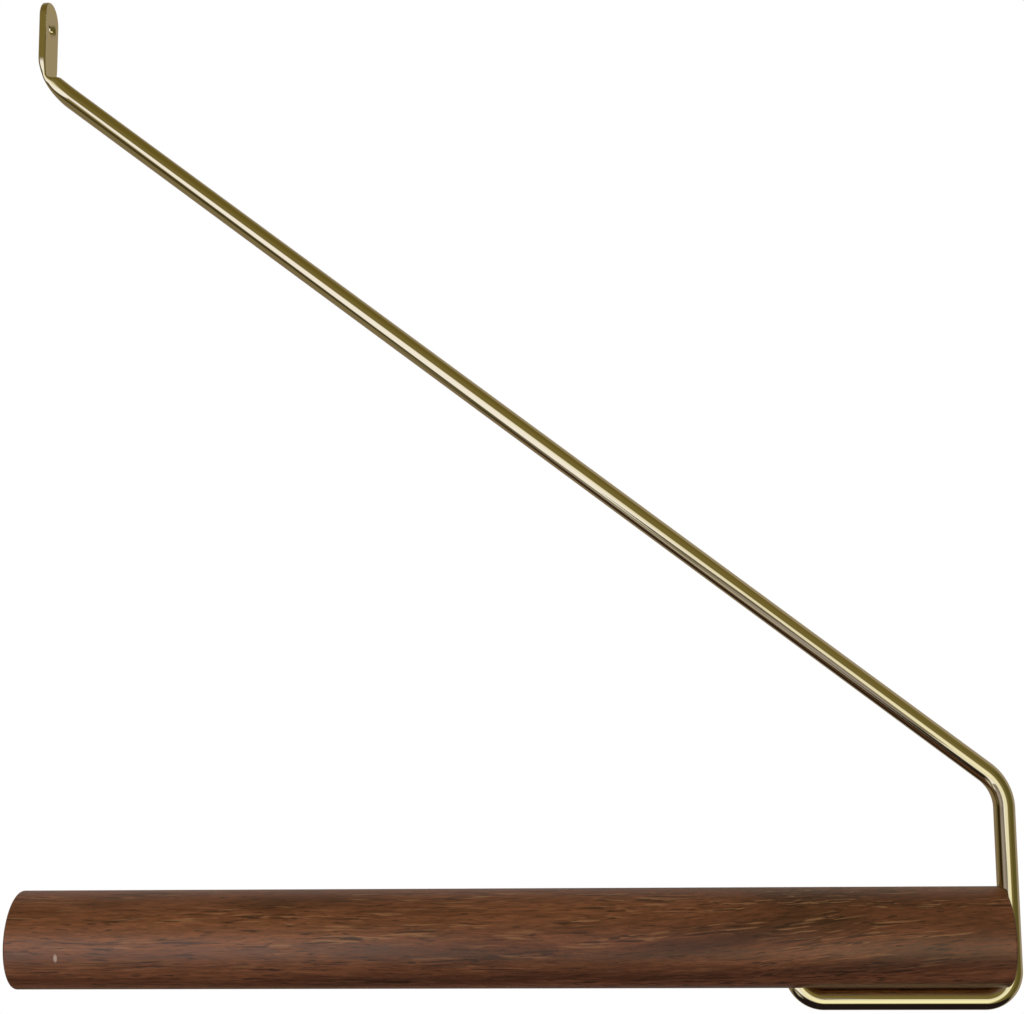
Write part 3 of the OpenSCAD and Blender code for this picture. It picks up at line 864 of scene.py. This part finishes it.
class RACK_OT_stage(bpy.types.Operator):
    """Set up the floor, the room that the brass reflects, the light and the camera"""

    bl_idname = "rack.stage"
    bl_label = "Studio"

    def execute(self, context):
        studio = context.scene.rack_studio
        self.floor(studio)
        self.room(studio)
        self.flag()
        self.light(context, studio)
        self.camera(context)
        return {"FINISHED"}

    def floor(self, studio):
        """A round floor of paper, 0.45 m below the arm."""
        middle = (ARM_HIGH.x / 2, 0, -0.45)
        start("circle", vertices=128, radius=1.9, fill_type="TRIFAN", location=middle)
        floor = finish_edit("studio_floor")
        if floor.data.polygons[0].normal.z < 0:
            floor.data.flip_normals()
        floor.data.materials.append(matt_paper(studio.floor, middle))
        floor.visible_glossy = False

    def room(self, studio):
        """A far shell that only the polished metal and the wood's sheen show.

        It glows by itself and lights nothing: a window wall behind the camera, a dim warm room, and
        a paler wall behind the rack.
        """
        start("uv_sphere", segments=48, ring_count=24, radius=20.0, location=(0, 0, 0))
        shell = finish_edit("studio_room")
        material, tree = new_material("studio_room")
        material.cycles.emission_sampling = "NONE"
        at = add_node(tree, "ShaderNodeTexCoord").outputs["Object"]
        way = add_node(tree, "ShaderNodeVectorMath", {0: at}, operation="NORMALIZE")
        split = add_node(tree, "ShaderNodeSeparateXYZ", {0: way.outputs[0]})
        az = add_node(tree, "ShaderNodeMath", {
            0: split.outputs[1], 1: split.outputs[0]}, operation="ARCTAN2").outputs[0]
        el = add_node(tree, "ShaderNodeMath", {0: split.outputs[2]}, operation="ARCSINE").outputs[0]

        def inside(*edges):
            """1 inside all edges, each given as an angle, its place, its softness and a side."""
            share = 1.0
            for angle, edge, soft, side in edges:
                start_value, end_value = {"above": (0.0, 1.0), "below": (1.0, 0.0)}[side]
                within = add_node(tree, "ShaderNodeMapRange", {
                    0: angle, 1: math.radians(edge - soft), 2: math.radians(edge + soft),
                    3: start_value, 4: end_value}, **SOFT)
                share = add_node(tree, "ShaderNodeMath", {
                    0: share, 1: within.outputs[0]}, operation="MULTIPLY").outputs[0]
            return share

        look = (*ROOM, 1)
        for tint, (left, right, soft), (low, high, soft_too) in ROOM_PARTS:
            share = inside((az, left, soft, "above"), (az, right, soft, "below"),
                           (el, low, soft_too, "above"), (el, high, soft_too, "below"))
            look = add_node(tree, "ShaderNodeMix", {
                0: share, 6: look, 7: (*tint, 1)}, **COLOURS).outputs[2]

        # The window's light: bluish on its left, whiter on its right, and yellowish low down there
        pane = [*(studio.window * v for v in (1.08, 1.16, 1.62)), 1]
        for tint, share in (
                ((0.93, 0.98, 1.06), inside((az, -99, 9, "above"))),
                ((1.12, 1.19, 1.08), inside((az, -86, 4, "above"), (el, -7, 5, "below")))):
            pane = add_node(tree, "ShaderNodeMix", {
                0: share, 6: pane, 7: [*(studio.window * v for v in tint), 1]},
                **COLOURS).outputs[2]

        # Its upper and left edges lean, as they do in the rod
        top = add_node(tree, "ShaderNodeMath", {
            0: az, 1: 0.24, 2: el}, operation="MULTIPLY_ADD").outputs[0]
        left = add_node(tree, "ShaderNodeMath", {
            0: el, 1: -0.39, 2: az}, operation="MULTIPLY_ADD").outputs[0]
        window = inside((el, -37, 4, "above"), (top, -13, 4, "below"),
                        (left, -127, 4, "above"), (az, -68, 6, "below"))
        look = add_node(tree, "ShaderNodeMix", {0: window, 6: look, 7: pane}, **COLOURS)
        glow = add_node(tree, "ShaderNodeEmission", {"Color": look.outputs[2]})
        add_node(tree, "ShaderNodeOutputMaterial", {"Surface": glow.outputs[0]})
        shell.data.materials.append(material)
        self.only_reflected(shell)

    def flag(self):
        """A grey flag in front of the rack: a glowing card seen only in reflections, which keeps
        the window off the left side of the leg.
        """
        middle = (0.2165, -0.127, 0.010)
        start("plane", size=1.0, location=middle, rotation=(math.pi / 2, 0, 0))
        bpy.ops.transform.resize(value=(0.177, 1.0, 0.140), center_override=middle)
        for cut_off, corner in ((0.072, lambda v: v.co.x > 0.25 and v.co.z > 0.05),
                                (0.066, lambda v: v.co.x > 0.25 and v.co.z < -0.03)):
            choose("verts", corner)
            bpy.ops.mesh.bevel(offset=cut_off, affect="VERTICES")
        flag = finish_edit("studio_flag")

        # Its glow, a painted reflection: pinkish grey in its middle, grey at its ends, and darker
        # at its top
        material, tree = new_material("studio_flag")
        material.cycles.emission_sampling = "NONE"
        at = add_node(tree, "ShaderNodeTexCoord").outputs["Object"]
        split = add_node(tree, "ShaderNodeSeparateXYZ", {0: at})
        low, near, far = (
            add_node(tree, "ShaderNodeMapRange", {0: split.outputs[axis], 1: off, 2: on}, **SOFT)
            for axis, off, on in ((2, 0.045, 0.018), (0, 0.275, 0.225), (0, 0.135, 0.185)))
        share = add_node(tree, "ShaderNodeMath", {
            0: near.outputs[0], 1: far.outputs[0]}, operation="MULTIPLY")
        grey = add_node(tree, "ShaderNodeMix", {
            0: share.outputs[0], 6: (0.25, 0.24, 0.26, 1), 7: (0.37, 0.35, 0.48, 1)}, **COLOURS)
        tint = add_node(tree, "ShaderNodeMix", {
            0: low.outputs[0], 6: (0.15, 0.14, 0.12, 1), 7: grey.outputs[2]}, **COLOURS)
        glow = add_node(tree, "ShaderNodeEmission", {"Color": tint.outputs[2]})
        add_node(tree, "ShaderNodeOutputMaterial", {"Surface": glow.outputs[0]})
        flag.data.materials.append(material)
        self.only_reflected(flag)

    def only_reflected(self, thing):
        """Let a thing of the studio be seen in reflections only."""
        for others in ("camera", "diffuse", "transmission", "volume_scatter", "shadow"):
            setattr(thing, f"visible_{others}", False)

    def light(self, context, studio):
        """Daylight from all round, a soft lamp on each side, and a pin light on the screw hole."""
        world = bpy.data.worlds.new("studio_daylight")
        context.scene.world = world
        world.use_nodes = True
        tree = world.node_tree
        tree.nodes.clear()
        path = add_node(tree, "ShaderNodeLightPath")
        seen = path.outputs["Is Camera Ray"]
        for other in ("Is Glossy Ray", "Is Transmission Ray"):
            seen = add_node(tree, "ShaderNodeMath", {
                0: seen, 1: path.outputs[other]}, operation="MAXIMUM").outputs[0]
        strength = add_node(tree, "ShaderNodeMix", {0: seen, 2: studio.daylight, 3: 1.0})
        sky = add_node(tree, "ShaderNodeBackground", {
            "Color": (1, 1, 1, 1), "Strength": strength.outputs[0]})
        add_node(tree, "ShaderNodeOutputWorld", {"Surface": sky.outputs[0]})

        # A soft lamp in front, and a weaker one behind that fills the shaded side
        for name, power, place in (("soft_key", studio.key, (-0.35, -1.25, 0.42)),
                                   ("soft_fill", studio.fill, (0.5, 1.3, 0.5))):
            lamp = bpy.data.lights.new(name, "AREA")
            lamp.shape = "RECTANGLE"
            lamp.size, lamp.size_y = 1.4, 0.9
            lamp.energy = power
            self.hang(context, lamp, place, (0.16, 0, 0.1)).visible_glossy = False

        # A narrow pin light, 29 mm out of the wall, that makes the countersink gleam
        hole_z = context.scene.rack_sizes.screw_height
        pin = bpy.data.lights.new("pin_light", "SPOT")
        pin.energy = 0.0019
        pin.shadow_soft_size = 6 * MM
        pin.spot_size = math.radians(10)
        pin.spot_blend = 0.1
        self.hang(context, pin, (29 * MM, -9 * MM, hole_z + 11.8 * MM), (STAY_LOW.x, 0, hole_z))

    def hang(self, context, lamp, place, target):
        """Put a lamp in its place and aim it."""
        hung = bpy.data.objects.new(lamp.name, lamp)
        context.collection.objects.link(hung)
        hung.location = place
        aim = Vector(target) - hung.location
        hung.rotation_euler = aim.to_track_quat("-Z", "Y").to_euler()
        return hung

    def camera(self, context):
        """The photograph's view, from just left of the outer end and a little above the arm."""
        lens = bpy.data.cameras.new("view")
        lens.sensor_fit = "HORIZONTAL"
        lens.sensor_width = 36.0
        lens.lens = VIEW_FOCUS * lens.sensor_width
        lens.clip_start = 0.01
        lens.clip_end = 100.0
        camera = bpy.data.objects.new("view", lens)
        context.collection.objects.link(camera)
        camera.matrix_world = (
            Matrix.Translation(VIEW_PLACE)
            @ Matrix.Rotation(VIEW_YAW, 4, "Z")
            @ Matrix.Rotation(math.pi / 2 + VIEW_PITCH, 4, "X")
            @ Matrix.Rotation(VIEW_ROLL, 4, "Z"))
        context.scene.camera = camera
        context.scene.view_settings.view_transform = "Standard"


class RACK_PT_panel(bpy.types.Panel):
    """The rack's pieces and their values"""

    bl_idname = "RACK_PT_panel"
    bl_label = "Wall coat rack"
    bl_space_type = "VIEW_3D"
    bl_region_type = "UI"
    bl_category = "Coat rack"

    def draw(self, context):
        for operator in OPERATORS:
            self.layout.operator(operator.bl_idname)
        for group in ("rack_sizes", "rack_colours", "rack_studio"):
            values = getattr(context.scene, group)
            box = self.layout.box()
            for name in values.__annotations__:
                box.prop(values, name)


# ---------------------------------------------------------------- registering and running

OPERATORS = (RACK_OT_stage, RACK_OT_arm, RACK_OT_stay, RACK_OT_insert)
GROUPS = {"rack_sizes": RackSizes, "rack_colours": RackColours, "rack_studio": RackStudio}


def register():
    """Make the groups, the operators and the panel known to Blender."""
    for name, group in GROUPS.items():
        bpy.utils.register_class(group)
        setattr(bpy.types.Scene, name, bpy.props.PointerProperty(type=group))
    for cls in (*OPERATORS, RACK_PT_panel):
        bpy.utils.register_class(cls)


def unregister():
    """Take them away again."""
    for cls in (RACK_PT_panel, *reversed(OPERATORS)):
        bpy.utils.unregister_class(cls)
    for name, group in reversed(GROUPS.items()):
        delattr(bpy.types.Scene, name)
        bpy.utils.unregister_class(group)


def main():
    """Build the rack and its studio."""
    register()
    bpy.ops.rack.stage()
    bpy.ops.rack.arm()
    bpy.ops.rack.stay()
    bpy.ops.rack.insert()


if __name__ == "__main__":
    main()
